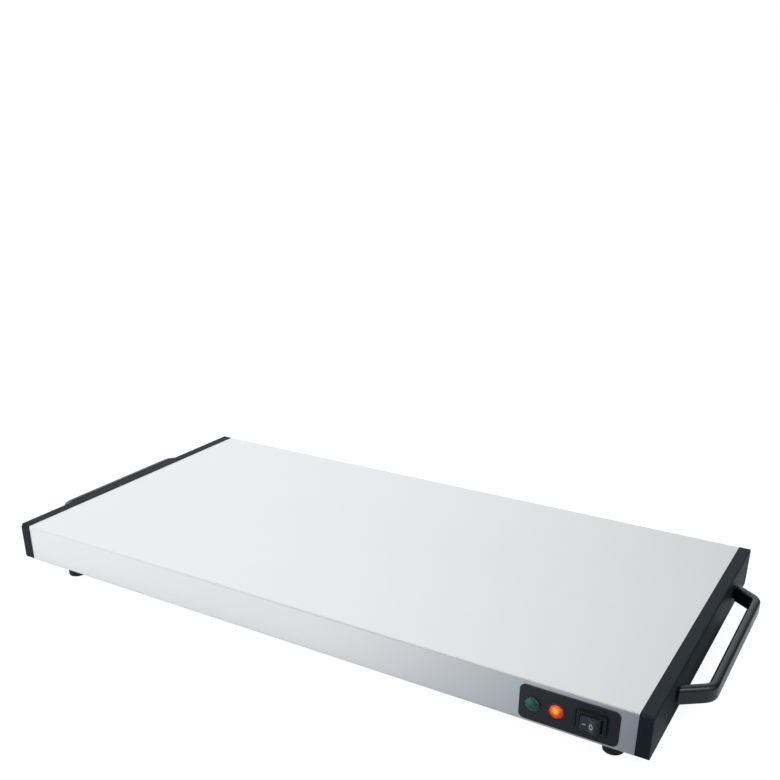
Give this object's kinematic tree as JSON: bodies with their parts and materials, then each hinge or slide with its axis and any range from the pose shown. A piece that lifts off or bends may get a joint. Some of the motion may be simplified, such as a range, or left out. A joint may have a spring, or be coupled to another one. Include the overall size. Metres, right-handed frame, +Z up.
{
  "type": "electric food warmer tray",
  "caption": "Long flat electric warming tray: a folded aluminium cover between black moulded end caps with bow handles, a rocker switch and two pilot lamps, on rubber feet.",
  "frame": {"origin": "on the surface that the feet stand on, under the middle of the aluminium cover", "axes": "+X along the length towards the end with the controls, -Y the front face with the controls, +Z up"},
  "size_m": [0.65, 0.3071, 0.0435],
  "materials": {
    "anodised_aluminium": "satin anodised, fine grain along the length",
    "galvanised_steel": "galvanised sheet, dull",
    "cap_plastic": "moulded, fine texture",
    "handle_plastic": "moulded, satin gloss",
    "zinc_steel": "bright zinc plating",
    "foot_rubber": "moulded rubber",
    "mica": "pressed mica board",
    "resistance_alloy": "rolled resistance ribbon",
    "brass": "stamped",
    "glass_fibre": "needled glass fibre mat",
    "phenolic": "moulded phenolic",
    "aluminium_cup": "drawn aluminium",
    "fuse_ceramic": "glazed",
    "block_ceramic": "steatite ceramic",
    "bezel_plastic": "moulded, fine matt texture",
    "green_lens": "clear tinted, faceted inside",
    "orange_lens": "clear tinted, lit",
    "lamp_glass": "clear",
    "switch_nylon": "moulded nylon",
    "rocker_plastic": "moulded, satin",
    "lead_insulation": "silicone rubber insulation"
  },
  "bodies": {
    "tray": {"top_cover": "anodised_aluminium", "bottom_plate": "galvanised_steel", "left_end_cap": "cap_plastic", "right_end_cap": "cap_plastic", "left_handle": "handle_plastic", "right_handle": "handle_plastic", "handle_screws": "zinc_steel", "end_cap_screws": "zinc_steel", "plate_screws": "zinc_steel", "foot_front_left": "foot_rubber", "foot_front_right": "foot_rubber", "foot_rear_left": "foot_rubber", "foot_rear_right": "foot_rubber", "foot_screws": "zinc_steel", "foot_nuts": "zinc_steel", "upper_mica_sheet": "mica", "heating_ribbon": "resistance_alloy", "lower_mica_sheet": "mica", "element_tags": "brass", "pressure_plate": "galvanised_steel", "insulation_mat": "glass_fibre", "left_rail": "galvanised_steel", "middle_rail": "galvanised_steel", "right_rail": "galvanised_steel", "rail_screws": "zinc_steel", "thermostat_body": "phenolic", "thermostat_cup": "aluminium_cup", "thermostat_strap": "zinc_steel", "thermostat_tabs": "brass", "thermal_fuse": "fuse_ceramic", "fuse_clip": "zinc_steel", "terminal_block": "block_ceramic", "terminal_barrels": "brass", "terminal_screws": "brass", "earth_screw": "zinc_steel", "earth_tag": "brass", "control_bezel": "bezel_plastic", "green_lamp_lens": "green_lens", "orange_lamp_lens": "orange_lens", "lamp_holders": "bezel_plastic", "lamp_bulbs": "lamp_glass", "lamp_clips": "zinc_steel", "switch_frame": "switch_nylon", "switch_tabs": "brass", "cord_inlet": "switch_nylon", "inlet_nut": "switch_nylon", "supply_leads": "lead_insulation", "heater_leads": "lead_insulation", "lamp_leads": "lead_insulation"},
    "rocker": {"switch_rocker": "rocker_plastic"}
  },
  "joints": [
    {"name": "rocker_turn", "type": "hinge", "parent": "tray", "child": "rocker", "pos_m": [0.2592, -0.14605, 0.0252], "axis": [0, 0, 1], "range_deg": [0, 20]}
  ]
}
